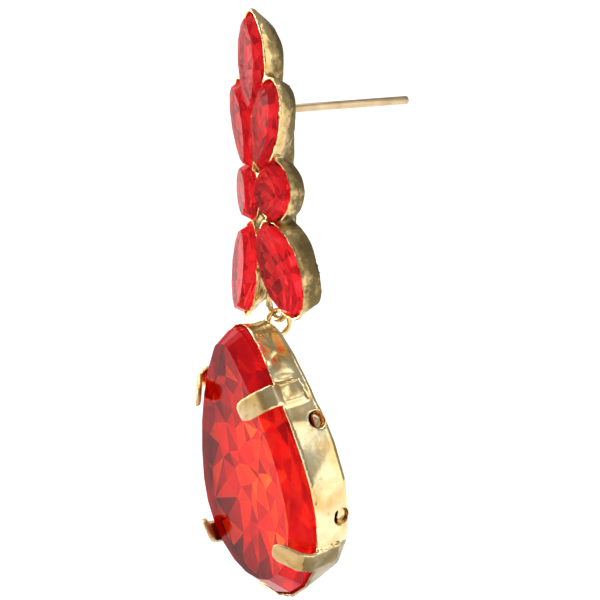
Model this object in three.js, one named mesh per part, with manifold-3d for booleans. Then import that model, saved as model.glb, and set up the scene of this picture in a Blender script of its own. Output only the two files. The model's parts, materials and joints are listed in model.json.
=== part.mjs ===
// Drop earring: a cluster of seven faceted glass stones in soldered brass cups, with an ear post at the
// back, and a large pear drop in a four-claw setting that hangs from the cluster by one jump ring.
// Millimetres, +Z up, the front faces -Y. The origin is the root of the ear post.
import * as THREE from "three";
import { mergeVertices } from "three/addons/utils/BufferGeometryUtils.js";
import Module from "manifold-3d";

const wasm = await Module();
wasm.setup();

// Ear post
const postDiameter = 0.75;
const postLength = 12.5;
const postCollarDiameter = 2.2;
const postCollarThickness = 0.5;
const postCollarEdge = 0.1;
const postSides = 12;
const collarSides = 16;

// How far one piece of metal reaches into the next where they are soldered
const solderLap = 0.1;

// Cluster: how the whole cluster has turned about its post, how tall it is, and where the stones' girdles
// lie in front of the post's root
const clusterTurnDeg = 6;
const clusterHeight = 28;
const girdleDepth = 3.2;
const cupWall = 0.45;
const cupFloor = 0.6;
const cupEdge = 0.3;
const cupShoulder = 0.4;
const stoneClearance = 0.15;
const crownHeight = 0.8;
const crownInset = 0.45;
const girdleBand = 0.2;
const pavilionDepth = 1.5;
const pavilionInsetShare = 0.55;

// Cluster stones. Shares of the cluster's height: length, x and z of the middle. Share of its length: width.
// Shares of the cup's wall: lift of the girdle before the common plane, height of the cup's rim over (+)
// or under (-) the girdle, how much the cup narrows towards its back at the sides and at the ends, and how
// far its back stands outwards. lean is the long axis towards the middle line, turn the face outwards, point
// how pointed the ends are, and fatter how much fuller the top end is than the bottom end.
const stoneTable = [
  { name: "top", length: 0.314, width: 0.421, x: 0, z: 0.1525, lean: 0, turn: 0,
    point: 1.4, fatter: 0.06, lift: 0, rim: 0.56, taper: 0.67, endTaper: 3.11, skew: 0 },
  { name: "upper", length: 0.2821, width: 0.43, x: 0.0679, z: -0.0429, lean: 15, turn: 8,
    point: 1.2, fatter: 0.16, lift: 0.22, rim: 0.56, taper: 1.33, endTaper: 1.78, skew: 0.22 },
  { name: "mid", length: 0.1804, width: 0.713, x: 0.0714, z: -0.2554, lean: 0, turn: 14,
    point: 1.25, fatter: 0, lift: 0, rim: -0.33, taper: 0.78, endTaper: 1.11, skew: 0.89 },
  { name: "lower", length: 0.3107, width: 0.471, x: 0.1054, z: -0.5036, lean: -24, turn: 12,
    point: 1.15, fatter: -0.04, lift: 0.44, rim: -0.11, taper: 1.22, endTaper: 1.6, skew: 2.8 },
];
const clusterStones = stoneTable.map((row) => ({
  ...row,
  length: row.length * clusterHeight,
  width: row.width * row.length * clusterHeight,
  x: row.x * clusterHeight,
  z: row.z * clusterHeight,
  lift: row.lift * cupWall,
  rim: row.rim * cupWall,
  taper: row.taper * cupWall,
  endTaper: row.endTaper * cupWall,
  skew: row.skew * cupWall,
}));
const clusterSides = 12;
const cupSides = 24;

// Spine: the solder and sheet behind the cups, from the top cup down to the loop. Heights and half-widths
// are shares of the cluster's height.
const spineThickness = 2.4;
const spineSections = [
  { z: 0.08, half: 0.0321 },
  { z: 0.0357, half: 0.0393 },
  { z: -0.0714, half: 0.0464 },
  { z: -0.1786, half: 0.0321 },
  { z: -0.2571, half: 0.0393 },
  { z: -0.3536, half: 0.0286 },
  { z: -0.4857, half: 0.0464 },
  { z: -0.5214, half: 0.0214 },
];

// Links: the cluster's loop, the jump ring and the drop's loop
const ringOuterDiameter = 3.8;
const ringWire = 0.7;
const clusterLoopHole = 1.5;
const clusterLoopWire = 0.6;
const clusterLoopDepth = 1.9;
const clusterLoopZ = -0.5518 * clusterHeight;
const loopStemDepth = 1.6;
const loopStemLead = 0.3;
const dropLoopHole = 1.7;
const dropLoopWire = 0.6;
const linkClearance = 0.2;
const ringSegments = 16;
const loopSegments = 14;
const wireSides = 6;

// Drop stone: a pear, tip up
const pearWidth = 18;
const pearLength = 24.6;
const pearTipRadius = 2.7;
const pearLeastTipRadius = 0.25;
const pearSideRadius = 26;
const pearCrownHeight = 1.6;
const pearTableInset = 1.6;
const pearTipInset = 0.9;
const pearGirdleBand = 0.35;
const pearPavilionDepth = 2.75;
const pearPavilionInset = 3.8;
const pearRoundSteps = 6;
const pearSideSteps = 5;
const pearTipSteps = 3;

// Drop setting: a wall of sheet with a back plate, four claws and four thread holes
const settingClearance = 0.2;
const settingWall = 0.55;
const settingDepth = 3.8;
const settingRimBack = 0.1;
const settingPlate = 0.9;
const settingEdgeRadius = 0.5;

// How far the wall falls at the tip from the rim to its back, with the shares at the rim, on the wall and in
// the pocket, and how far the round end rises from the rim to the back
const tipFall = 1.0;
const tipFallAtRim = 0.25;
const tipFallAtWall = 0.8;
const tipFallInPocket = 0.7;
const roundRise = 1.4;
const roundRiseAtRim = 0.15;

// The rim slopes back towards the tip, from a height up
const tipRimDip = 0.5;
const tipRimFrom = 8.6;
const clawWidth = 2.1;
const clawThickness = 0.45;
const clawFoot = 2.6;
const clawShoulderRun = 0.7;
const clawShoulderRise = 1.3;
const clawTipLength = 2.6;
const clawSlopeDeg = 30;
const clawTipSegments = 8;
const upperClawShare = 0.288;
const lowerClawDeg = 31;
const threadHoleDiameter = 1.6;
const threadHoleDepth = 2.8;
const threadHoleSides = 12;
const upperHoleShare = 0.177;
const lowerHoleDeg = 7.5;
const dropPivotDepth = 4.45;
const dropPivotHeight = 12.05;
const dropTiltDeg = 9.9;

const rad = THREE.MathUtils.degToRad;

const gold = (colour, roughness) =>
  new THREE.MeshStandardMaterial({ color: colour, roughness, metalness: 1 });
const glass = (colour) =>
  new THREE.MeshStandardMaterial({ color: colour, roughness: 0.06, metalness: 0 });
const clusterGold = gold(0xd9bf7a, 0.34);
const dropGold = gold(0xe2c888, 0.28);
const ringGold = gold(0xd8c68a, 0.25);
const clusterRed = glass(0xd01024);
const dropRed = glass(0xd8281c);

// A closed mesh through rings of equally many points, first ring at the back, counter-clockwise as seen
// from the front. Both ends are capped with a fan.
function loft(rings) {
  const count = rings[0].length;
  const points = rings.flat();
  const index = [];
  for (let r = 0; r + 1 < rings.length; r++) {
    for (let k = 0; k < count; k++) {
      const next = (k + 1) % count;
      const a = r * count + k;
      const b = r * count + next;
      const c = a + count;
      const d = b + count;
      index.push(a, b, d, a, d, c);
    }
  }
  const last = (rings.length - 1) * count;
  for (let k = 1; k + 1 < count; k++) {
    index.push(0, k + 1, k);
    index.push(last, last + k, last + k + 1);
  }
  const geometry = new THREE.BufferGeometry().setFromPoints(points);
  geometry.setIndex(index);
  return geometry;
}

// A plan outline moved to a depth: plan x and y become X and Z, and the depth is Y, back is plus.
const atDepth = (outline, depth) =>
  outline.map((p) => new THREE.Vector3(p.x, depth, p.y));

// The plan outline of a cluster stone, grown by an offset at its sides and at its ends, and moved across.
function gemOutline(stone, offset, sides, endOffset = offset, shift = 0) {
  const outline = [];
  for (let k = 0; k < sides; k++) {
    const angle = (2 * Math.PI * k) / sides;
    const across = Math.sin(angle);
    const along = Math.cos(angle);
    const half = stone.width / 2 + offset;
    const x = half * Math.sign(across) * Math.abs(across) ** stone.point * (1 + stone.fatter * along);
    outline.push(new THREE.Vector2(shift - x, (stone.length / 2 + endOffset) * along));
  }
  return outline;
}

// The plan outline of the pear, grown by an offset, as four kinds of arc: the round end, two sides and
// the tip, with the round end raised by a rise. Every ring has the same number of points, so rings can be
// lofted.
function pearOutline(offset, tipOffset = offset, rise = 0) {
  const roundRadius = pearWidth / 2 + offset;
  const tipRadius = Math.max(pearTipRadius + offset / 2, pearLeastTipRadius);
  const sideRadius = pearSideRadius + offset;
  const roundZ = roundRadius - offset - pearLength / 2 + rise;
  const tipZ = pearLength / 2 + tipOffset - tipRadius;
  const toRound = sideRadius - roundRadius;
  const toTip = sideRadius - tipRadius;
  const sideZ = (toRound ** 2 - toTip ** 2 - roundZ ** 2 + tipZ ** 2) / (2 * (tipZ - roundZ));
  const sideX = -Math.sqrt(toRound ** 2 - (sideZ - roundZ) ** 2);
  const roundAngle = Math.atan2(roundZ - sideZ, -sideX);
  const tipAngle = Math.atan2(tipZ - sideZ, -sideX);
  const arc = (x, z, radius, from, to, steps) =>
    Array.from({ length: steps }, (unused, k) => {
      const angle = from + ((to - from) * k) / steps;
      return new THREE.Vector2(x + radius * Math.cos(angle), z + radius * Math.sin(angle));
    });
  const right = [
    ...arc(0, roundZ, roundRadius, -Math.PI / 2, roundAngle, pearRoundSteps),
    ...arc(sideX, sideZ, sideRadius, roundAngle, tipAngle, pearSideSteps),
    ...arc(0, tipZ, tipRadius, tipAngle, Math.PI / 2, pearTipSteps),
  ];
  const tip = new THREE.Vector2(0, tipZ + tipRadius);
  const left = right.slice(1).reverse().map((p) => new THREE.Vector2(-p.x, p.y));
  return [...right, tip, ...left];
}

// Heights on the side of the pear: by share of its length above its middle, or by angle round its round end.
const heightByShare = (share) => share * pearLength;
const heightByAngle = (degrees) =>
  (pearWidth - pearLength) / 2 - (pearWidth / 2) * Math.sin(rad(degrees));

// The pear outline's point and outward direction at a height, on the +X side.
function pearSideAt(height, offset) {
  const outline = pearOutline(offset);
  const k = outline.findIndex((p) => p.y > height);
  const below = outline[k - 1];
  const above = outline[k];
  const share = (height - below.y) / (above.y - below.y);
  const point = below.clone().lerp(above, share);
  const along = above.clone().sub(below).normalize();
  return { point, outward: new THREE.Vector2(along.y, -along.x) };
}

// Joins and cuts closed geometries.
function solid(geometry, matrix = new THREE.Matrix4()) {
  const plain = geometry.clone().applyMatrix4(matrix);
  plain.deleteAttribute("normal");
  plain.deleteAttribute("uv");
  const merged = mergeVertices(plain, 1e-4);
  return new wasm.Manifold(
    new wasm.Mesh({
      numProp: 3,
      vertProperties: merged.attributes.position.array,
      triVerts: new Uint32Array(merged.index.array),
    }),
  );
}

function geometryOf(made) {
  const mesh = made.getMesh();
  const geometry = new THREE.BufferGeometry();
  geometry.setAttribute("position", new THREE.BufferAttribute(mesh.vertProperties, 3));
  geometry.setIndex(new THREE.BufferAttribute(mesh.triVerts, 1));
  geometry.computeVertexNormals();
  return geometry;
}

function named(name, geometry, material) {
  const mesh = new THREE.Mesh(geometry, material);
  mesh.name = name;
  return mesh;
}

// The place of a cluster stone's frame, on the +X side (1) or mirrored to the -X side (-1).
function stonePlace(stone, side) {
  const lean = new THREE.Matrix4().makeRotationY(rad(side * stone.lean));
  const turn = new THREE.Matrix4().makeRotationZ(rad(side * stone.turn));
  const depth = -(girdleDepth + stone.lift);
  return new THREE.Matrix4()
    .makeTranslation(side * stone.x, depth, stone.z)
    .multiply(turn)
    .multiply(lean);
}

function gemGeometry(stone) {
  const pavilionInset = (pavilionInsetShare * stone.width) / 2;
  return loft([
    atDepth(gemOutline(stone, -pavilionInset, clusterSides), pavilionDepth),
    atDepth(gemOutline(stone, 0, clusterSides), girdleBand),
    atDepth(gemOutline(stone, 0, clusterSides), 0),
    atDepth(gemOutline(stone, -crownInset, clusterSides), -crownHeight),
  ]);
}

// A cup from its back to its rim, with a pocket that follows the stone's outline.
function cupSolid(stone, side, place) {
  const outer = stoneClearance + cupWall;
  const floor = pavilionDepth + stoneClearance;
  const ring = (share, shrink, depth) =>
    atDepth(
      gemOutline(
        stone,
        outer - stone.taper * share - shrink,
        cupSides,
        outer - stone.endTaper * share - shrink,
        side * stone.skew * share,
      ),
      depth,
    );
  const shell = loft([
    ring(1, cupEdge, floor + cupFloor),
    ring(1, 0, floor + cupFloor - cupEdge),
    ring(0, 0, cupShoulder),
    ring(0, 0, -stone.rim),
  ]);
  const pocketInset = (pavilionInsetShare * stone.width) / 2;
  const pocket = loft([
    atDepth(gemOutline(stone, stoneClearance - pocketInset, cupSides), floor),
    atDepth(gemOutline(stone, stoneClearance, cupSides), girdleBand + stoneClearance),
    atDepth(gemOutline(stone, stoneClearance, cupSides), -crownHeight),
  ]);
  return { shell: solid(shell, place), pocket: solid(pocket, place) };
}

// A round wire bent into a ring in the plane X-Z or, turned, in the plane Y-Z.
function ringGeometry(centreRadius, wire, segments, plane) {
  const profile = Array.from({ length: wireSides + 1 }, (unused, k) => {
    const angle = (2 * Math.PI * (k % wireSides)) / wireSides;
    return new THREE.Vector2(
      centreRadius + (wire / 2) * Math.cos(angle),
      (wire / 2) * Math.sin(angle),
    );
  });
  const ring = new THREE.LatheGeometry(profile, segments);
  if (plane === "YZ") {
    ring.rotateZ(Math.PI / 2);
  }
  return ring;
}

const clusterPlaces = clusterStones.flatMap((stone) =>
  (stone.x === 0 ? [1] : [1, -1]).map((side) => ({
    stone,
    side,
    name: stone.x === 0 ? stone.name + "_stone"
      : stone.name + (side === 1 ? "_right_stone" : "_left_stone"),
    place: stonePlace(stone, side),
  })),
);

function spineSolid() {
  const right = spineSections.map(
    (s) => new THREE.Vector2(s.half * clusterHeight, s.z * clusterHeight),
  );
  const left = right.slice().reverse().map((p) => new THREE.Vector2(-p.x, p.y));
  const plate = new THREE.ExtrudeGeometry(new THREE.Shape([...right, ...left]), {
    depth: spineThickness,
    bevelEnabled: false,
  });
  return solid(plate.rotateX(Math.PI / 2));
}

function postSolid() {
  const sunk = spineThickness / 2;
  const radius = postDiameter / 2;
  const post = new THREE.CylinderGeometry(radius, radius, postLength + sunk, postSides);
  const collar = new THREE.CylinderGeometry(
    radius + postCollarEdge,
    postCollarDiameter / 2,
    postCollarThickness,
    collarSides,
  );
  post.translate(0, (postLength - sunk) / 2, 0);
  collar.translate(0, postCollarThickness / 2 - solderLap, 0);
  return solid(post).add(solid(collar));
}

function clusterLoopSolid() {
  const radius = (clusterLoopHole + clusterLoopWire) / 2;
  const loop = ringGeometry(radius, clusterLoopWire, loopSegments, "YZ");
  const stemLength = spineThickness;
  const stem = new THREE.BoxGeometry(clusterLoopWire, loopStemDepth, stemLength);
  stem.translate(
    0,
    -spineThickness / 2 - loopStemLead,
    clusterLoopZ + radius + stemLength / 2 - solderLap,
  );
  loop.translate(0, -clusterLoopDepth, clusterLoopZ);
  return solid(loop).add(solid(stem));
}

function clusterSetting() {
  const cups = clusterPlaces.map(({ stone, side, place }) => cupSolid(stone, side, place));
  let made = spineSolid().add(postSolid()).add(clusterLoopSolid());
  for (const cup of cups) {
    made = made.add(cup.shell);
  }
  for (const cup of cups) {
    made = made.subtract(cup.pocket);
  }
  return made;
}

const cluster = new THREE.Group();
cluster.rotation.y = -rad(clusterTurnDeg);
cluster.add(named("cluster_setting", geometryOf(clusterSetting()), clusterGold));
for (const { stone, name, place } of clusterPlaces) {
  cluster.add(named(name, gemGeometry(stone).applyMatrix4(place), clusterRed));
}

// The jump ring hangs in the cluster's loop, and the drop's loop hangs on the ring's lowest point.
const loopCentre = new THREE.Vector3(0, -clusterLoopDepth, clusterLoopZ)
  .applyAxisAngle(new THREE.Vector3(0, 1, 0), cluster.rotation.y);
const ringRadius = (ringOuterDiameter - ringWire) / 2;
const ringTop = loopCentre.z - (clusterLoopHole - ringWire) / 2 + linkClearance;
const ringCentre = new THREE.Vector3(loopCentre.x, loopCentre.y, ringTop - ringRadius);
const dropPivot = new THREE.Vector3(ringCentre.x, ringCentre.y, ringCentre.z - ringRadius);
const jumpRing = named("jump_ring", ringGeometry(ringRadius, ringWire, ringSegments, "XZ"), ringGold);
jumpRing.position.copy(ringCentre);

// Drop setting in the drop's own frame: the girdle lies in Y = 0, the pear's middle at the origin.
const wallOffset = settingClearance + settingWall;

function wallSolid() {
  const ring = (offset, fall, rise, depth) =>
    atDepth(pearOutline(offset, offset - fall, rise), depth);
  const dip = (height) => Math.max(0, (height - tipRimFrom) / (pearLength / 2 - tipRimFrom));
  const rim = ring(wallOffset, tipFall * tipFallAtRim, roundRise * roundRiseAtRim, settingRimBack);
  const shell = loft([
    ring(wallOffset - settingEdgeRadius, tipFall, roundRise, settingDepth),
    ring(wallOffset - settingEdgeRadius / 4, tipFall, roundRise, settingDepth - settingEdgeRadius / 3),
    ring(wallOffset, tipFall * tipFallAtWall, roundRise, settingDepth - settingEdgeRadius),
    rim.map((p) => p.setY(p.y + tipRimDip * dip(p.z))),
  ]);
  const floor = settingDepth - settingPlate;
  const pocket = loft([
    ring(settingClearance - settingEdgeRadius, tipFall * tipFallInPocket, roundRise, floor),
    ring(settingClearance, tipFall * tipFallInPocket, roundRise, floor - settingEdgeRadius),
    ring(settingClearance, 0, 0, pearGirdleBand),
    ring(settingClearance, 0, 0, -pearCrownHeight),
  ]);
  return solid(shell).subtract(solid(pocket));
}

// The frame on the wall at a height: X points outwards, Y to the back and Z along the outline.
function wallFrame(height, side) {
  const { point, outward } = pearSideAt(height, wallOffset);
  const frame = new THREE.Matrix4().makeBasis(
    new THREE.Vector3(side * outward.x, 0, outward.y),
    new THREE.Vector3(0, 1, 0),
    new THREE.Vector3(-outward.y, 0, side * outward.x),
  );
  return frame.setPosition(side * point.x, 0, point.y);
}

// The outline of a bent strip of sheet, thickness to the left of its line of travel.
function strip(line, thickness) {
  const offset = line.map((p, k) => {
    const before = line[Math.max(k - 1, 0)];
    const after = line[Math.min(k + 1, line.length - 1)];
    const along = after.clone().sub(before).normalize();
    return new THREE.Vector2(p.x - along.y * thickness, p.y + along.x * thickness);
  });
  return new THREE.Shape([...line, ...offset.reverse()]);
}

// A claw: a strip up the outside of the wall, over the stone's edge and folded to a round-ended tongue.
function clawSolid(height, side) {
  const slope = rad(clawSlopeDeg);
  const fold = new THREE.Vector2(-clawShoulderRun, -clawShoulderRise);
  const tip = new THREE.Vector2(
    fold.x - clawTipLength * Math.cos(slope),
    fold.y - clawTipLength * Math.sin(slope),
  );
  const inward = Math.max(0, -pearSideAt(height, wallOffset).outward.y) * roundRise;
  const sunk = clawThickness / 3;
  const line = [
    new THREE.Vector2(-sunk - (inward * clawFoot) / settingDepth, clawFoot),
    new THREE.Vector2(-sunk - inward * roundRiseAtRim, 0),
    new THREE.Vector2(-sunk, -clawShoulderRise / 3),
    fold,
    tip,
  ];
  const bent = new THREE.ExtrudeGeometry(strip(line, clawThickness), {
    depth: clawWidth,
    bevelEnabled: false,
  });
  bent.translate(0, 0, -clawWidth / 2);
  const half = clawWidth / 2;
  const plan = new THREE.Shape();
  plan.moveTo(half, -half);
  plan.lineTo(half, half);
  plan.lineTo(tip.x + half, half);
  plan.absarc(tip.x + half, 0, half, Math.PI / 2, (3 * Math.PI) / 2, false);
  const trim = new THREE.ExtrudeGeometry(plan, {
    depth: 4 * settingDepth,
    bevelEnabled: false,
    curveSegments: clawTipSegments,
  });
  trim.rotateX(Math.PI / 2).translate(0, 2 * settingDepth, 0);
  const frame = wallFrame(height, side);
  return solid(bent, frame).intersect(solid(trim, frame));
}

function threadHoleSolid(height, side) {
  const radius = threadHoleDiameter / 2;
  const hole = new THREE.CylinderGeometry(radius, radius, 3 * settingWall, threadHoleSides);
  hole.rotateZ(Math.PI / 2).translate(-settingWall / 2, threadHoleDepth, 0);
  return solid(hole, wallFrame(height, side));
}

// The loop stands upright in the middle plane, at the back of the tip.
const dropLoopHeight = dropPivotHeight - (dropLoopHole - ringWire) / 2 + linkClearance;
const dropLoopCentre = new THREE.Vector3(0, dropPivotDepth, dropLoopHeight);

function dropLoopSolid() {
  const loop = ringGeometry((dropLoopHole + dropLoopWire) / 2, dropLoopWire, loopSegments, "YZ");
  return solid(loop.translate(...dropLoopCentre.toArray()));
}

function dropSetting() {
  let made = wallSolid();
  for (const side of [1, -1]) {
    for (const height of [heightByShare(upperClawShare), heightByAngle(lowerClawDeg)]) {
      made = made.add(clawSolid(height, side));
    }
    for (const height of [heightByShare(upperHoleShare), heightByAngle(lowerHoleDeg)]) {
      made = made.subtract(threadHoleSolid(height, side));
    }
  }
  return made.add(dropLoopSolid());
}

function dropStoneGeometry() {
  return loft([
    atDepth(pearOutline(-pearPavilionInset), pearPavilionDepth),
    atDepth(pearOutline(0), pearGirdleBand),
    atDepth(pearOutline(0), 0),
    atDepth(pearOutline(-pearTableInset, -pearTipInset), -pearCrownHeight),
  ]);
}

const drop = new THREE.Group();
drop.rotation.x = rad(dropTiltDeg);
drop.position.copy(
  new THREE.Vector3(0, -dropPivotDepth, -dropPivotHeight)
    .applyAxisAngle(new THREE.Vector3(1, 0, 0), drop.rotation.x)
    .add(dropPivot),
);
drop.add(named("drop_setting", geometryOf(dropSetting()), dropGold));
drop.add(named("drop_stone", dropStoneGeometry(), dropRed));

const earring = new THREE.Group();
earring.add(cluster, jumpRing, drop);
export default earring;
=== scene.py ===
# %% [markdown]
# A drop earring: seven red stones in soldered gilt cups, and a large pear drop in a claw setting that hangs
# from them on one wire ring. The imported model gives every size and place. This file gives the looks: it
# dents and softens the metal, cuts more facets on the stones, and mixes the finishes. The imported model is
# loaded first and its box is kept, so that nothing here grows past it.

# %% Load the imported model
import json
import math

import bpy
from mathutils import Matrix, Vector, noise

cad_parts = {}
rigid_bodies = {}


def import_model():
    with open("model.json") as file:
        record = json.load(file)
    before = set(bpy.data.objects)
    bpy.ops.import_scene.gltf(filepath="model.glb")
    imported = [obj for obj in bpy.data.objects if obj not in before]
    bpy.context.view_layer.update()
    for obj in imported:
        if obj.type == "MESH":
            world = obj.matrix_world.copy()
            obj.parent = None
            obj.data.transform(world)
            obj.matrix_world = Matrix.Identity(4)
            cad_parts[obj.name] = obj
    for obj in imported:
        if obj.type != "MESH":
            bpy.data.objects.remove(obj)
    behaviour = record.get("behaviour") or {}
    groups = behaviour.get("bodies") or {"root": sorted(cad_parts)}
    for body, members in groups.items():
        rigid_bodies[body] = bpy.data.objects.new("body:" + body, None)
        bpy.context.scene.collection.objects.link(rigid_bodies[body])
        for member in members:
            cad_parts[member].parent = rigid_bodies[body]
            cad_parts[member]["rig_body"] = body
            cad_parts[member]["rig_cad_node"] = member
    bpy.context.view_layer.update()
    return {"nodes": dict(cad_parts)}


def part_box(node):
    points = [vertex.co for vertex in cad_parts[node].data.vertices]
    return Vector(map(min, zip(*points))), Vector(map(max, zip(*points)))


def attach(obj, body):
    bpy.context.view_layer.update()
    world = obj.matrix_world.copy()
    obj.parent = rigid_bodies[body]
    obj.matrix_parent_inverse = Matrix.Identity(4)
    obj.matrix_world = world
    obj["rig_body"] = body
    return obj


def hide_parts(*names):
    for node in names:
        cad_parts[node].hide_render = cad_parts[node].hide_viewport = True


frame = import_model()
MM = 0.001
print("nodes:", sorted(frame["nodes"]))

# %% [markdown]
# The photograph looks at the earring from its right-hand side, sixty degrees round from the front and a
# little from above. A long lens far away keeps the stones' edges nearly parallel, as they are there. The
# camera is aimed at the middle of the picture by two distances in the picture plane, so no shift is needed.

# %% Camera
CAMERA_AZIMUTH = math.radians(60)
CAMERA_ELEVATION = math.radians(9)
CAMERA_DISTANCE = 600 * MM
SENSOR_WIDTH = 36.0
PIXELS_PER_MM = 11.2
PICTURE_PIXELS = 600
AIM_RIGHT = 1.161 * MM
AIM_UP = -17.07 * MM

towards_camera = Vector((
    math.sin(CAMERA_AZIMUTH) * math.cos(CAMERA_ELEVATION),
    -math.cos(CAMERA_AZIMUTH) * math.cos(CAMERA_ELEVATION),
    math.sin(CAMERA_ELEVATION),
))
picture_right = Vector((math.cos(CAMERA_AZIMUTH), math.sin(CAMERA_AZIMUTH), 0))
picture_up = towards_camera.cross(picture_right)
aim = picture_right * AIM_RIGHT + picture_up * AIM_UP

camera_data = bpy.data.cameras.new("camera")
camera = bpy.data.objects.new("camera", camera_data)
bpy.context.scene.collection.objects.link(camera)
camera.location = aim + towards_camera * CAMERA_DISTANCE
camera.rotation_euler = (-towards_camera).to_track_quat("-Z", "Y").to_euler()
camera_data.sensor_width = SENSOR_WIDTH
camera_data.lens = SENSOR_WIDTH * CAMERA_DISTANCE / (PICTURE_PIXELS / PIXELS_PER_MM * MM)
camera_data.clip_start = 0.01
bpy.context.scene.camera = camera
print("lens in mm:", round(camera_data.lens, 1))

# %% [markdown]
# Small helpers. Blender's operators work on whatever is selected, and loading the model leaves its nodes
# selected, so each step first selects only its own piece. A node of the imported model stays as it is: a
# piece that refines it starts from a merged copy.

# %% Helpers for selecting and copying
MERGE_DISTANCE = 0.002 * MM


def select_only(piece):
    bpy.ops.object.select_all(action="DESELECT")
    piece.select_set(True)
    bpy.context.view_layer.objects.active = piece


def copy_of_node(node, name):
    piece = frame["nodes"][node].copy()
    piece.data = piece.data.copy()
    piece.name = name
    piece.data.name = name
    piece.parent = None
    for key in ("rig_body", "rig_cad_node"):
        if key in piece:
            del piece[key]
    bpy.context.scene.collection.objects.link(piece)
    select_only(piece)
    bpy.ops.object.mode_set(mode="EDIT")
    bpy.ops.mesh.select_all(action="SELECT")
    bpy.ops.mesh.remove_doubles(threshold=MERGE_DISTANCE)
    bpy.ops.mesh.customdata_custom_splitnormals_clear()
    bpy.ops.object.mode_set(mode="OBJECT")
    return piece


def apply_modifiers(piece):
    select_only(piece)
    for modifier in list(piece.modifiers):
        bpy.ops.object.modifier_apply(modifier=modifier.name)


# %% [markdown]
# Hand-worked metal is never quite flat. The sheet and the cups are made even again by a voxel remesh, fine
# enough to keep a wall of half a millimetre, then smoothed a little so the edges look filed. Dents are
# pushed in with a noise texture. They only go inwards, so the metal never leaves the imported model's box. A
# last light smoothing settles them, as burnishing does.

# %% Worked metal
SMOOTHING = 0.5
SETTLING_STEPS = 2
SEED_STEPS = (7.3, 3.1, 5.7)


def worked_metal(node, name, voxel, smooth_steps, dents, cut_off=None):
    piece = copy_of_node(node, name)
    if cut_off is not None:
        bpy.ops.object.mode_set(mode="EDIT")
        bpy.ops.mesh.select_all(action="SELECT")
        bpy.ops.mesh.bisect(
            plane_co=(0, cut_off, 0), plane_no=(0, 1, 0), use_fill=True, clear_outer=True)
        bpy.ops.object.mode_set(mode="OBJECT")
    remesh = piece.modifiers.new("even mesh", "REMESH")
    remesh.mode = "VOXEL"
    remesh.voxel_size = voxel
    smooth = piece.modifiers.new("filed edges", "SMOOTH")
    smooth.factor = SMOOTHING
    smooth.iterations = smooth_steps
    apply_modifiers(piece)
    for dent in dents:
        dent(piece)
    settle = piece.modifiers.new("settled dents", "SMOOTH")
    settle.factor = SMOOTHING
    settle.iterations = SETTLING_STEPS
    apply_modifiers(piece)
    bpy.ops.object.shade_smooth()
    return piece


def noise_dents(size, depth, sharp, where, seed):
    """Dents of about one size, pushed in against the surface where the place function says so."""
    shift = Vector([seed * step for step in SEED_STEPS])

    def press(piece):
        normals = [v.normal.copy() for v in piece.data.vertices]
        for vertex, normal in zip(piece.data.vertices, normals):
            amount = where(vertex.co, normal)
            if amount > 0:
                value = noise.noise(vertex.co / size + shift) * 0.5 + 0.5
                vertex.co -= normal * (depth * amount * value ** sharp)
        piece.data.update()

    return press


def ramp(value, low, high):
    return min(1.0, max(0.0, (value - low) / (high - low)))


# %% [markdown]
# Gilt metal is one shader: a metallic base whose colour wanders between pale champagne, gold and a browner
# tarnish, with a roughness that wanders with it, and a fine bump for the marks of the file. The patterns
# read object coordinates, which are metres here, so a scale of 1100 gives spots of about a millimetre. One
# axis can add painted shade in the tarnish colour from one depth to another: on the cups it darkens their
# backs.

# %% Gilt finish
CLOUD_SCALE = 420
CLOUD_DEEP = 0.35
CLOUD_PALE = 0.62
SPOT_SCALE = 1100
SPOT_ROUGHNESS = 0.65
PAINTED_SHADE_SHARE = 0.36
TARNISH_AND_SHADE_STARTS = 0.60
TARNISH_AND_SHADE_FULL = 0.86
STAIN_MATTNESS = 0.3


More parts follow.
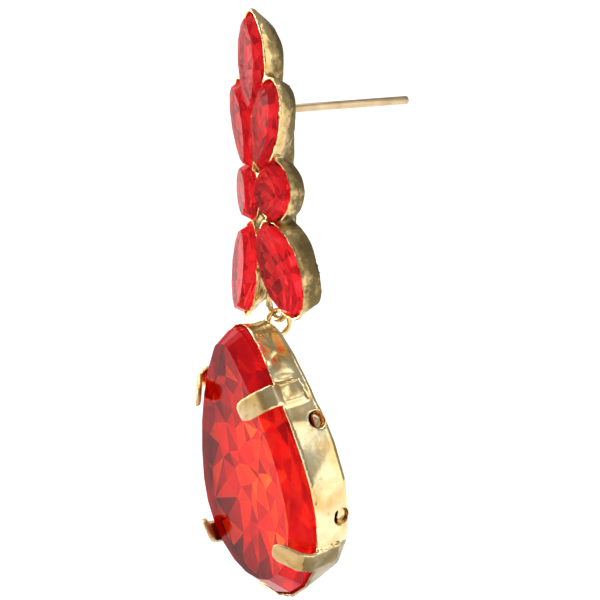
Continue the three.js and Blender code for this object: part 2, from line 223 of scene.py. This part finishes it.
def gilt(
    name, pale, deep, tarnish_and_shade_colour, tarnish_share, roughness, bump_scale, bump_height, shade_axis, shade_from, shade_to
):
    material = bpy.data.materials.new(name)
    material.use_nodes = True
    nodes, links = material.node_tree.nodes, material.node_tree.links
    shader = nodes["Principled BSDF"]
    shader.inputs["Metallic"].default_value = 1.0
    place = nodes.new("ShaderNodeTexCoord")

    clouds = nodes.new("ShaderNodeTexNoise")
    clouds.inputs["Scale"].default_value = CLOUD_SCALE
    clouds.inputs["Detail"].default_value = 4
    links.new(place.outputs["Object"], clouds.inputs["Vector"])
    tone = nodes.new("ShaderNodeValToRGB")
    tone.color_ramp.elements[0].position = CLOUD_DEEP
    tone.color_ramp.elements[0].color = (*deep, 1)
    tone.color_ramp.elements[1].position = CLOUD_PALE
    tone.color_ramp.elements[1].color = (*pale, 1)
    links.new(clouds.outputs["Fac"], tone.inputs["Fac"])

    spots = nodes.new("ShaderNodeTexNoise")
    spots.inputs["Scale"].default_value = SPOT_SCALE
    spots.inputs["Detail"].default_value = 6
    spots.inputs["Roughness"].default_value = SPOT_ROUGHNESS
    links.new(place.outputs["Object"], spots.inputs["Vector"])
    parts = nodes.new("ShaderNodeSeparateXYZ")
    links.new(place.outputs["Object"], parts.inputs["Vector"])
    # Painted shade: the tarnish colour grows along one axis, so one end of the piece comes out darker.
    painted_shade = nodes.new("ShaderNodeMapRange")
    painted_shade.inputs["From Min"].default_value = shade_from
    painted_shade.inputs["From Max"].default_value = shade_to
    painted_shade.inputs["To Max"].default_value = PAINTED_SHADE_SHARE
    links.new(parts.outputs[shade_axis], painted_shade.inputs["Value"])
    spots_and_shade = nodes.new("ShaderNodeMath")
    links.new(spots.outputs["Fac"], spots_and_shade.inputs[0])
    links.new(painted_shade.outputs["Result"], spots_and_shade.inputs[1])
    edge = nodes.new("ShaderNodeMapRange")
    edge.inputs["From Min"].default_value = TARNISH_AND_SHADE_STARTS - tarnish_share
    edge.inputs["From Max"].default_value = TARNISH_AND_SHADE_FULL - tarnish_share
    links.new(spots_and_shade.outputs["Value"], edge.inputs["Value"])
    tarnished_and_shaded = nodes.new("ShaderNodeMix")
    tarnished_and_shaded.data_type = "RGBA"
    links.new(edge.outputs["Result"], tarnished_and_shaded.inputs["Factor"])
    links.new(tone.outputs["Color"], tarnished_and_shaded.inputs["A"])
    tarnished_and_shaded.inputs["B"].default_value = (*tarnish_and_shade_colour, 1)
    links.new(tarnished_and_shaded.outputs["Result"], shader.inputs["Base Color"])

    matt = nodes.new("ShaderNodeMapRange")
    matt.inputs["To Min"].default_value = roughness
    matt.inputs["To Max"].default_value = roughness + STAIN_MATTNESS
    links.new(edge.outputs["Result"], matt.inputs["Value"])
    links.new(matt.outputs["Result"], shader.inputs["Roughness"])

    grain = nodes.new("ShaderNodeTexNoise")
    grain.inputs["Scale"].default_value = bump_scale
    grain.inputs["Detail"].default_value = 3
    links.new(place.outputs["Object"], grain.inputs["Vector"])
    bump = nodes.new("ShaderNodeBump")
    bump.inputs["Strength"].default_value = 1.0
    bump.inputs["Distance"].default_value = bump_height
    links.new(grain.outputs["Fac"], bump.inputs["Height"])
    links.new(bump.outputs["Normal"], shader.inputs["Normal"])
    return material


CHAMPAGNE = (0.90, 0.67, 0.31)
GOLD = (0.50, 0.32, 0.11)
OLIVE_BROWN = (0.21, 0.155, 0.065)
DARK_OLIVE = (0.07, 0.055, 0.03)
SHADE_PAINTED_GOLD = (0.42, 0.33, 0.18)
MATT_TAN = (0.66, 0.48, 0.26)
BRIGHT_GOLD = (0.97, 0.83, 0.50)
WARM_GOLD = (0.78, 0.52, 0.20)
CUP_FRONT = -3.0 * MM
CUP_BACK = -1.5 * MM
NOWHERE = ("Y", 9, 10)
# The cups get painted shade that darkens them from CUP_FRONT back to CUP_BACK.
cluster_gilt = gilt(
    "cluster gilt", CHAMPAGNE, GOLD, OLIVE_BROWN, 0.03, 0.24, 1300, 0.05 * MM, "Y", CUP_FRONT, CUP_BACK)
drop_gilt = gilt("drop gilt", BRIGHT_GOLD, WARM_GOLD, OLIVE_BROWN, 0.0, 0.2, 700, 0.02 * MM, *NOWHERE)
matt_gilt = gilt("matt gilt", MATT_TAN, GOLD, OLIVE_BROWN, 0.06, 0.42, 1500, 0.03 * MM, *NOWHERE)
# A darker gilt that paints shade onto the lower sides of the drop's setting.
painted_shade_gilt = gilt("painted shade gilt", SHADE_PAINTED_GOLD, OLIVE_BROWN, DARK_OLIVE, 0.0, 0.25, 700, 0.04 * MM, *NOWHERE)
ring_gilt = gilt("ring gilt", BRIGHT_GOLD, GOLD, OLIVE_BROWN, 0.03, 0.2, 900, 0.01 * MM, *NOWHERE)
TAN = (0.72, 0.55, 0.34)
TAN_DEEP = (0.55, 0.38, 0.20)
TAN_OLD = (0.30, 0.19, 0.09)
post_gilt = gilt("post gilt", TAN, TAN_DEEP, TAN_OLD, -0.03, 0.3, 500, 0.004 * MM, *NOWHERE)
gilts = (cluster_gilt, drop_gilt, painted_shade_gilt, matt_gilt, ring_gilt, post_gilt)
print("gilt finishes:", [gilt_finish.name for gilt_finish in gilts])


def dress(piece, *materials):
    piece.data.materials.clear()
    for material in materials:
        piece.data.materials.append(material)


# %% [markdown]
# The upper metal is one soldered piece. Its cups are beaten over a punch, so they are dented all over, the
# lowest pair most of all. The loop below is plain wire and stays round, so the dents fade out beside it.

# %% Upper setting
CUP_VOXEL = 0.13 * MM
CUP_SMOOTHING = 4
POST_STARTS = 0.2 * MM
POST_STUB = 0.45 * MM
LOOP_X = (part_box("jump_ring")[0].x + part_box("jump_ring")[1].x) / 2
LOOP_TOP = -14.3 * MM


def cup_dents(co, normal):
    beside_loop = ramp(abs(co.x - LOOP_X), 0.5 * MM, 0.9 * MM)
    above_loop = ramp(co.z, LOOP_TOP, LOOP_TOP + 0.7 * MM)
    return max(beside_loop, above_loop) * ramp(-co.y, -POST_STARTS, 0.5 * MM)


def low_cup_dents(co, normal):
    return cup_dents(co, normal) * ramp(-co.z, 9.5 * MM, 11.5 * MM) * ramp(co.z, -17.8 * MM, -17.0 * MM)


upper_setting = worked_metal("cluster_setting", "upper_setting", CUP_VOXEL, CUP_SMOOTHING, [
    noise_dents(1.7 * MM, 0.16 * MM, 1.2, cup_dents, 1),
    noise_dents(1.9 * MM, 0.5 * MM, 1.6, low_cup_dents, 2),
    noise_dents(0.6 * MM, 0.05 * MM, 1.0, cup_dents, 3),
], cut_off=POST_STUB)
dress(upper_setting, cluster_gilt)
print("upper setting faces:", len(upper_setting.data.polygons))

# %% [markdown]
# The ear post is a length of drawn wire, straight and smooth, with its end filed round. It is one cylinder
# that starts inside the collar, with its free end bevelled. It stays plain, as it has to pass the ear.

# %% Ear post
post_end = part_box("cluster_setting")[1].y
POST_RADIUS = 0.375 * MM
POST_END_BEVEL = 0.12 * MM
SHARP_ANGLE = math.radians(40)
bpy.ops.object.select_all(action="DESELECT")
bpy.ops.mesh.primitive_cylinder_add(
    vertices=32,
    radius=POST_RADIUS,
    depth=post_end,
    location=(0, post_end / 2, 0),
    rotation=(math.radians(90), 0, 0),
)
ear_wire = bpy.context.object
ear_wire.name = "ear_wire"
bpy.ops.object.transform_apply(location=True, rotation=True, scale=True)
rounded = ear_wire.modifiers.new("filed end", "BEVEL")
rounded.width = POST_END_BEVEL
rounded.segments = 3
apply_modifiers(ear_wire)
select_only(ear_wire)
bpy.ops.object.shade_smooth_by_angle(angle=SHARP_ANGLE)
dress(ear_wire, post_gilt)
print("post reaches in mm:", round(post_end / MM, 2))

# %% [markdown]
# The drop hangs tilted, so its pieces are worked in a frame of its own: X across, Y straight back from the
# plane of the girdle, Z along the stone. The stone's flat table shows where that plane lies.

# %% Frame of the drop
DROP_TILT = math.radians(9.9)
PEAR_CROWN = 1.6 * MM
pear = copy_of_node("drop_stone", "cut_drop_stone")
pear_low, pear_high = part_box("drop_stone")
drop_back = Vector((0, math.cos(DROP_TILT), math.sin(DROP_TILT)))
table_depth = min(vertex.co.dot(drop_back) for vertex in pear.data.vertices)
middle = (pear_low + pear_high) / 2
middle += drop_back * (table_depth + PEAR_CROWN - middle.dot(drop_back))
drop_place = Matrix.Translation(middle) @ Matrix.Rotation(DROP_TILT, 4, "X")
into_drop = drop_place.inverted()
print("middle of the drop in mm:", [round(value / MM, 2) for value in middle])

# %% [markdown]
# The drop's setting is a strip of sheet bent round the pear and closed by a back plate. It is smoother and
# brighter than the cups, with soft hollows near the tip where the strip was bent hardest. Its claws are
# folded strips with matt tips. From the lower claws down, the sides of the wall get a darker gilt of their
# own: painted shade.

# %% Drop setting
WALL_VOXEL = 0.15 * MM
WALL_SMOOTHING = 3
LOOP_DEPTH = 3.3 * MM
LOOP_HEIGHT = 9.5 * MM
ROUND_CENTRE = -3.3 * MM
LOWER_CLAW = math.radians(31)
CLAW_SPREAD = math.radians(7.5)
FOLD_DEPTH = -1.25 * MM
FACES_BACK = 0.7
PAINTED_SHADE_GILT, MATT_GILT = 1, 2


def wall_dents(co, normal):
    own = into_drop @ co
    near_loop = ramp(own.y, LOOP_DEPTH - 1 * MM, LOOP_DEPTH) * ramp(own.z, 6 * MM, LOOP_HEIGHT)
    behind_claws = ramp(own.y, -0.3 * MM, 0.4 * MM)
    return (1 - near_loop) * behind_claws * (0.25 + 0.75 * ramp(own.z, 3 * MM, 8 * MM))


def top_dents(co, normal):
    return wall_dents(co, normal) * ramp((into_drop @ co).z, 5 * MM, 7 * MM)


def low_on_wall(co):
    own = into_drop @ co
    return math.atan2(ROUND_CENTRE - own.z, abs(own.x)) > LOWER_CLAW - CLAW_SPREAD


drop_wall = worked_metal("drop_setting", "drop_wall", WALL_VOXEL, WALL_SMOOTHING, [
    noise_dents(2.8 * MM, 0.3 * MM, 1.5, wall_dents, 4),
    noise_dents(1.4 * MM, 0.2 * MM, 1.5, top_dents, 6),
    noise_dents(0.9 * MM, 0.03 * MM, 1.0, wall_dents, 5),
])
dress(drop_wall, drop_gilt, painted_shade_gilt, matt_gilt)
for face in drop_wall.data.polygons:
    if (into_drop @ face.center).y < FOLD_DEPTH:
        face.material_index = MATT_GILT
    # Painted shade: the sides from the lower claws down, but not the back plate, take the darker gilt.
    elif low_on_wall(face.center) and face.normal.dot(drop_back) < FACES_BACK:
        face.material_index = PAINTED_SHADE_GILT
print("drop setting faces:", len(drop_wall.data.polygons))

# %% [markdown]
# A jump ring is a turn of round wire, cut and pushed shut. A torus gives the wire, a hair smaller than the
# packed ring so that it swings clear of the dented cups. A thin box, taken out of it on one side, leaves
# the gap where the two ends meet.

# %% Jump ring
ring_low, ring_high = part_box("jump_ring")
ring_centre = (ring_low + ring_high) / 2
ring_wire = (ring_high.y - ring_low.y) / 2
RING_FIT = 0.97
ring_outer = RING_FIT * (ring_high.x - ring_low.x) / 2
bpy.ops.object.select_all(action="DESELECT")
bpy.ops.mesh.primitive_torus_add(
    location=ring_centre,
    rotation=(math.radians(90), 0, 0),
    major_radius=ring_outer - ring_wire,
    minor_radius=ring_wire,
    major_segments=72,
    minor_segments=20,
)
wire_ring = bpy.context.object
wire_ring.name = "wire_ring"
bpy.ops.object.transform_apply(location=True, rotation=True, scale=True)

JOINT_ANGLE = math.radians(150)
JOINT_GAP = 0.08 * MM
joint_way = Vector((math.cos(JOINT_ANGLE), 0, math.sin(JOINT_ANGLE)))
bpy.ops.object.select_all(action="DESELECT")
bpy.ops.mesh.primitive_cube_add(
    size=1,
    location=ring_centre + joint_way * (ring_outer - ring_wire),
    rotation=(0, -JOINT_ANGLE, 0),
    scale=(3 * ring_wire, 3 * ring_wire, JOINT_GAP),
)
saw = bpy.context.object
cut = wire_ring.modifiers.new("butt joint", "BOOLEAN")
cut.operation = "DIFFERENCE"
cut.object = saw
apply_modifiers(wire_ring)
bpy.data.objects.remove(saw)
select_only(wire_ring)
bpy.ops.object.shade_smooth_by_angle(angle=SHARP_ANGLE)
dress(wire_ring, ring_gilt)
print("ring wire in mm:", round(2 * ring_wire / MM, 2), "faces:", len(wire_ring.data.polygons))

# %% [markdown]
# The stones are red glass with a foiled back. Light goes in through the crown, is coloured by the glass,
# strikes the foil behind the lower facets and comes out again, so the shards of light and dark in a stone
# are its lower facets. That is built as it is: clear tinted glass in front, a bright metal foil behind. Each
# foil facet also gets its own tone from dark to hot, which is painted light and shade that stands in for the
# many inner reflections. The glass bends light less than real glass, so that the tables mirror less of the
# pale floor and stay red.

# %% Glass and foil finishes
RED_SHINE = (1.0, 0.2, 0.2, 1)
GLASS_BENDING = 1.22
GLASS_POLISH = 0.02
GLASS_CLOUD_SCALE = 160
CLOUD_TINT = (0.93, 0.8, 0.85)
FOIL_METAL = 0.25
FOIL_POLISH = 0.3
FOIL_MIDDLE = 0.55


def red_glass(name, colour, clear):
    material = bpy.data.materials.new(name)
    material.use_nodes = True
    nodes, links = material.node_tree.nodes, material.node_tree.links
    shader = nodes["Principled BSDF"]
    shader.inputs["Transmission Weight"].default_value = clear
    shader.inputs["IOR"].default_value = GLASS_BENDING
    shader.inputs["Specular Tint"].default_value = RED_SHINE
    shader.inputs["Roughness"].default_value = GLASS_POLISH
    place = nodes.new("ShaderNodeTexCoord")
    clouds = nodes.new("ShaderNodeTexNoise")
    clouds.inputs["Scale"].default_value = GLASS_CLOUD_SCALE
    clouds.inputs["Detail"].default_value = 2
    links.new(place.outputs["Object"], clouds.inputs["Vector"])
    tone = nodes.new("ShaderNodeValToRGB")
    tone.color_ramp.elements[0].color = (*[c * share for c, share in zip(colour, CLOUD_TINT)], 1)
    tone.color_ramp.elements[1].color = (*colour, 1)
    links.new(clouds.outputs["Fac"], tone.inputs["Fac"])
    links.new(tone.outputs["Color"], shader.inputs["Base Color"])
    return material


# The foil colour runs from dark through bright to hot along a face attribute: painted light and shade on
# each facet.
def foil(name, dark, bright, hot, shard_light_attribute):
    material = bpy.data.materials.new(name)
    material.use_nodes = True
    nodes, links = material.node_tree.nodes, material.node_tree.links
    shader = nodes["Principled BSDF"]
    shader.inputs["Metallic"].default_value = FOIL_METAL
    shader.inputs["Roughness"].default_value = FOIL_POLISH
    shard_light = nodes.new("ShaderNodeAttribute")
    shard_light.attribute_name = shard_light_attribute
    tone = nodes.new("ShaderNodeValToRGB")
    tone.color_ramp.elements[0].color = (*dark, 1)
    tone.color_ramp.elements[1].color = (*hot, 1)
    middle = tone.color_ramp.elements.new(FOIL_MIDDLE)
    middle.color = (*bright, 1)
    links.new(shard_light.outputs["Fac"], tone.inputs["Fac"])
    links.new(tone.outputs["Color"], shader.inputs["Base Color"])
    return material


PAINTED_SHARD_LIGHT = "painted_shard_light"
cluster_glass = red_glass("cluster glass", (1.0, 0.06, 0.07), 1.0)
cluster_bevel = red_glass("cluster bevel", (0.98, 0.06, 0.08), 0.75)
cluster_foil = foil("cluster foil", (0.30, 0.01, 0.02), (1.0, 0.18, 0.18), (1.0, 0.6, 0.5), PAINTED_SHARD_LIGHT)
drop_glass = red_glass("drop glass", (1.0, 0.06, 0.01), 1.0)
# The drop's bevels are a darker, less clear red than its table: painted shade.
drop_bevel = red_glass("drop bevel", (0.80, 0.02, 0.03), 0.6)
drop_foil = foil("drop foil", (0.22, 0.0, 0.0), (1.0, 0.12, 0.06), (1.0, 0.9, 0.2), PAINTED_SHARD_LIGHT)

# %% [markdown]
# A cutter grinds each facet as a flat plane, and so does this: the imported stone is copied, and each new
# facet is a bisect that keeps the inside and fills the cut. First the stone's outline is carried back as a
# band, to give the glass its depth. Then the back is ground wherever a plane touches a shallow dome. The
# places lie on a spiral, so no two facets line up. A shallow dent in each facet breaks it into shards.

# %% Cutting facets
FINE = 0.0001 * MM
SPIRAL_STEP = math.radians(137.5)
FLAT_BACK = 0.95
LOOKS_BACK = 0.2
TABLE_LOOK = -0.95
GLASS, FOIL, BEVEL = 0, 1, 2
SHARD_LIGHT_PATCH = 0.7 * MM
SHARD_LIGHT_MIDDLE = 0.5
SHARD_LIGHT_SWING = 1.1


def cut_facet(piece, point, normal):
    select_only(piece)
    bpy.ops.object.mode_set(mode="EDIT")
    bpy.ops.mesh.select_all(action="SELECT")
    bpy.ops.mesh.bisect(
        plane_co=point, plane_no=normal, use_fill=True, clear_outer=True, threshold=FINE)
    bpy.ops.object.mode_set(mode="OBJECT")


def stone_place(centre, turn, lean, roll):
    """The frame of a stone: X across, Y to the back, Z along, with the cluster's roll about the post."""
    return (
        Matrix.Rotation(roll, 4, "Y")
        @ Matrix.Translation(centre)
        @ Matrix.Rotation(turn, 4, "Z")
        @ Matrix.Rotation(lean, 4, "Y")
    )


def cut_back(piece, place, half_width, half_length, edge_depth, middle_depth, count):
    """Facets all over the back, each one ground where it touches a shallow dome, spread in a spiral."""
    rise = middle_depth - edge_depth
    for k in range(count):
        reach = math.sqrt((k + 0.5) / count)
        angle = k * SPIRAL_STEP
        x, z = half_width * reach * math.cos(angle), half_length * reach * math.sin(angle)
        touch = Vector((x, edge_depth + rise * (1 - reach ** 2), z))
        normal = Vector((2 * rise * x / half_width ** 2, 1, 2 * rise * z / half_length ** 2))
        cut_facet(piece, place @ touch, (place.to_3x3() @ normal).normalized())


def face_back(piece, back, least):
    """Selects only the faces that look back by at least the given share."""
    for edge in piece.data.edges:
        edge.select = False
    for face in piece.data.polygons:
        face.select = face.normal.dot(back) > least


def deepen_back(piece, place, start, depth):
    """Takes the back off behind the girdle and draws the girdle's outline straight back as a band."""
    back = (place.to_3x3() @ Vector((0, 1, 0))).normalized()
    cut_facet(piece, place @ Vector((0, start, 0)), back)
    face_back(piece, back, FLAT_BACK)
    bpy.ops.object.mode_set(mode="EDIT")
    bpy.ops.mesh.select_mode(type="FACE")
    bpy.ops.mesh.extrude_region_move(TRANSFORM_OT_translate={"value": back * (depth - start)})
    bpy.ops.object.mode_set(mode="OBJECT")


def break_into_shards(piece, place, dent):
    """Pokes a shallow dent into every face that looks back."""
    back = (place.to_3x3() @ Vector((0, 1, 0))).normalized()
    select_only(piece)
    face_back(piece, back, LOOKS_BACK)
    bpy.ops.object.mode_set(mode="EDIT")
    bpy.ops.mesh.select_mode(type="FACE")
    bpy.ops.mesh.poke(offset=-dent, center_mode="MEDIAN")
    bpy.ops.object.mode_set(mode="OBJECT")


def finish_stone(piece, place, glass, bevel, back_foil, seed, painted_light):
    """Clear glass on the table, less clear glass on the bevels, and foil with painted light and shade per
    face on the faces that look back.
    """
    dress(piece, glass, back_foil, bevel)
    back = (place.to_3x3() @ Vector((0, 1, 0))).normalized()
    shard_light = piece.data.attributes.new(PAINTED_SHARD_LIGHT, "FLOAT", "FACE")
    for face in piece.data.polygons:
        face.use_smooth = False
        backwards = face.normal.dot(back)
        if backwards > LOOKS_BACK:
            face.material_index = FOIL
        elif backwards < TABLE_LOOK:
            face.material_index = GLASS
        else:
            face.material_index = BEVEL
        # Painted light and shade: each foil face gets a tone from dark to hot, standing in for inner
        # reflections.
        spot = noise.noise(face.center / SHARD_LIGHT_PATCH + Vector((seed, 0, 0)))
        shade = SHARD_LIGHT_MIDDLE + SHARD_LIGHT_SWING * spot + painted_light(face.center)
        shard_light.data[face.index].value = min(1.0, max(0.0, shade))


# %% [markdown]
# The seven small stones stand in three leaning pairs under the top one. Each pair is listed once, and the
# left-hand stone is its mirror image across the middle.

# %% Small stones
CLUSTER_ROLL = math.radians(-6)
GIRDLE_DEPTH = 3.2 * MM
BAND_START = 0.15 * MM
BAND_END = 1.45 * MM
EDGE_DEPTH = 0.5 * MM
MIDDLE_DEPTH = 1.4 * MM
BACK_FACETS = 18
SHARD_DENT = 0.12 * MM
SEED_SPACING = 3.7
small_stones = [
    {"name": "top", "long": 8.8, "wide": 3.7, "x": 0, "z": 4.27, "lean": 0, "turn": 0, "lift": 0},
    {"name": "upper", "long": 7.9, "wide": 3.4, "x": 1.9, "z": -1.2, "lean": 15, "turn": 8, "lift": 0.1},
    {"name": "mid", "long": 5.05, "wide": 3.6, "x": 2.0, "z": -7.15, "lean": 0, "turn": 14, "lift": 0},
    {"name": "lower", "long": 8.7, "wide": 4.1, "x": 2.95, "z": -14.1, "lean": -24, "turn": 12, "lift": 0.2},
]


# The small stones get no painted glow or shade of their own.
def no_painted_glow(co):
    return 0.0


stones = []
for row in small_stones:
    for side, word in ((1, "right"), (-1, "left")):
        if row["x"] == 0 and side == -1:
            continue
        node = row["name"] + ("_stone" if row["x"] == 0 else "_" + word + "_stone")
        place = stone_place(
            Vector((side * row["x"] * MM, -GIRDLE_DEPTH - row["lift"] * MM, row["z"] * MM)),
            math.radians(side * row["turn"]),
            math.radians(side * row["lean"]),
            CLUSTER_ROLL,
        )
        piece = copy_of_node(node, "cut_" + node)
        half_width, half_length = row["wide"] / 2 * MM, row["long"] / 2 * MM
        deepen_back(piece, place, BAND_START, BAND_END)
        cut_back(piece, place, half_width, half_length, EDGE_DEPTH, MIDDLE_DEPTH, BACK_FACETS)
        break_into_shards(piece, place, SHARD_DENT)
        seed = len(stones) * SEED_SPACING
        finish_stone(piece, place, cluster_glass, cluster_bevel, cluster_foil, seed, no_painted_glow)
        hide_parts(node)
        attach(piece, "cluster")
        stones.append(piece)
print("small stones:", len(stones), "facets:", [len(s.data.polygons) for s in stones])

# %% [markdown]
# The drop is cut in the same way, with more facets on a deeper back. Its foil gets a painted orange glow low
# in the middle and painted shade towards the round end.

# %% Drop stone
DROP_GLOW = Vector((2.3 * MM, -3.5 * MM, -34.5 * MM))
GLOW_REACH = 6 * MM
GLOW_SHARE = 0.62
DARK_SHARE = 0.55
DARK_STARTS = 8.5 * MM
DARK_FULL = 11 * MM
PEAR_SHADE = 0.2
PEAR_SEED = 31.0


# Painted light: an orange glow in the lower middle of the drop; painted shade towards its round end.
def painted_glow_and_shade(co):
    glow = GLOW_SHARE * math.exp(-((co - DROP_GLOW).length / GLOW_REACH) ** 2)
    dark_end = DARK_SHARE * ramp(-(into_drop @ co).z, DARK_STARTS, DARK_FULL)
    return glow - dark_end - PEAR_SHADE


PEAR_HALF_WIDTH = 8.8 * MM
PEAR_HALF_LENGTH = 12.1 * MM
PEAR_BAND_START = 0.3 * MM
PEAR_EDGE_DEPTH = 1.3 * MM
PEAR_BACK_DEPTH = 2.7 * MM
PEAR_FACETS = 46
PEAR_DENT = 0.3 * MM
deepen_back(pear, drop_place, PEAR_BAND_START, PEAR_BACK_DEPTH)
cut_back(pear, drop_place, PEAR_HALF_WIDTH, PEAR_HALF_LENGTH, PEAR_EDGE_DEPTH, PEAR_BACK_DEPTH, PEAR_FACETS)
break_into_shards(pear, drop_place, PEAR_DENT)
finish_stone(pear, drop_place, drop_glass, drop_bevel, drop_foil, PEAR_SEED, painted_glow_and_shade)
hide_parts("drop_stone")
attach(pear, "drop")
print("drop facets:", len(pear.data.polygons))

# %% [markdown]
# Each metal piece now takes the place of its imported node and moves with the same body.

# %% Metal pieces take their places
for piece, node, slot, body in (
    (upper_setting, "cluster_setting", "cluster_gold", "cluster"),
    (ear_wire, "cluster_setting", "cluster_gold", "cluster"),
    (wire_ring, "jump_ring", "ring_gold", "link"),
    (drop_wall, "drop_setting", "drop_gold", "drop"),
):
    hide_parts(node)
    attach(piece, body)

# %% [markdown]
# The studio is a plain pale floor below the hanging drop and large soft lights. Polished metal shows what
# stands round it, so the lights are wide panels with darker gaps between them.

# %% Floor and light
FLOOR_HEIGHT = -60 * MM
FLOOR_WIDTH = 8
SKY_STRENGTH = 0.3
PAPER_GREY = (0.93, 0.93, 0.93, 1)
PAPER_PALE = (0.97, 0.97, 0.97, 1)
PANEL_DISTANCE = 0.7
bpy.ops.object.select_all(action="DESELECT")
bpy.ops.mesh.primitive_plane_add(size=FLOOR_WIDTH, location=(0, 0, FLOOR_HEIGHT))
floor = bpy.context.object
floor.name = "floor"
paper = bpy.data.materials.new("pale paper")
paper.use_nodes = True
paper_nodes = paper.node_tree.nodes
paper_shader = paper_nodes["Principled BSDF"]
paper_shader.inputs["Roughness"].default_value = 0.9
paper_place = paper_nodes.new("ShaderNodeTexCoord")
paper_grain = paper_nodes.new("ShaderNodeTexNoise")
paper_grain.inputs["Scale"].default_value = 40
paper_tone = paper_nodes.new("ShaderNodeValToRGB")
paper_tone.color_ramp.elements[0].color = PAPER_GREY
paper_tone.color_ramp.elements[1].color = PAPER_PALE
paper.node_tree.links.new(paper_place.outputs["Object"], paper_grain.inputs["Vector"])
paper.node_tree.links.new(paper_grain.outputs["Fac"], paper_tone.inputs["Fac"])
paper.node_tree.links.new(paper_tone.outputs["Color"], paper_shader.inputs["Base Color"])
dress(floor, paper)

world = bpy.data.worlds.new("studio")
bpy.context.scene.world = world
world.use_nodes = True
world.node_tree.nodes["Background"].inputs["Color"].default_value = (1, 1, 1, 1)
world.node_tree.nodes["Background"].inputs["Strength"].default_value = SKY_STRENGTH
bpy.context.scene.view_settings.view_transform = "Standard"


def direction(azimuth, elevation):
    """The way from the earring towards a lamp: azimuth from the front, elevation from the level."""
    a, e = math.radians(azimuth), math.radians(elevation)
    return Vector((math.sin(a) * math.cos(e), -math.cos(a) * math.cos(e), math.sin(e)))


def panel(name, azimuth, elevation, size, watts):
    data = bpy.data.lights.new(name, "AREA")
    data.shape = "RECTANGLE"
    data.size, data.size_y = size
    data.energy = watts
    lamp = bpy.data.objects.new(name, data)
    bpy.context.scene.collection.objects.link(lamp)
    away = direction(azimuth, elevation)
    lamp.location = aim + away * PANEL_DISTANCE
    lamp.rotation_euler = (-away).to_track_quat("-Z", "Y").to_euler()
    return lamp


def soft_sun(name, azimuth, elevation, width, strength):
    """A round patch of light far away, as wide as an angle, like a large softbox over the whole table."""
    data = bpy.data.lights.new(name, "SUN")
    data.angle = math.radians(width)
    data.energy = strength
    lamp = bpy.data.objects.new(name, data)
    bpy.context.scene.collection.objects.link(lamp)
    away = direction(azimuth, elevation)
    lamp.rotation_euler = (-away).to_track_quat("-Z", "Y").to_euler()
    return lamp


lamps = [
    panel("key", azimuth=-48, elevation=12, size=(0.35, 0.35), watts=5.4),
    panel("side", azimuth=120, elevation=17, size=(0.35, 0.55), watts=0.75),
    panel("band", azimuth=142, elevation=50, size=(0.25, 0.1), watts=0.16),
    soft_sun("overhead", azimuth=-70, elevation=66, width=60, strength=2.6),
]
print("lights:", [lamp.name for lamp in lamps])
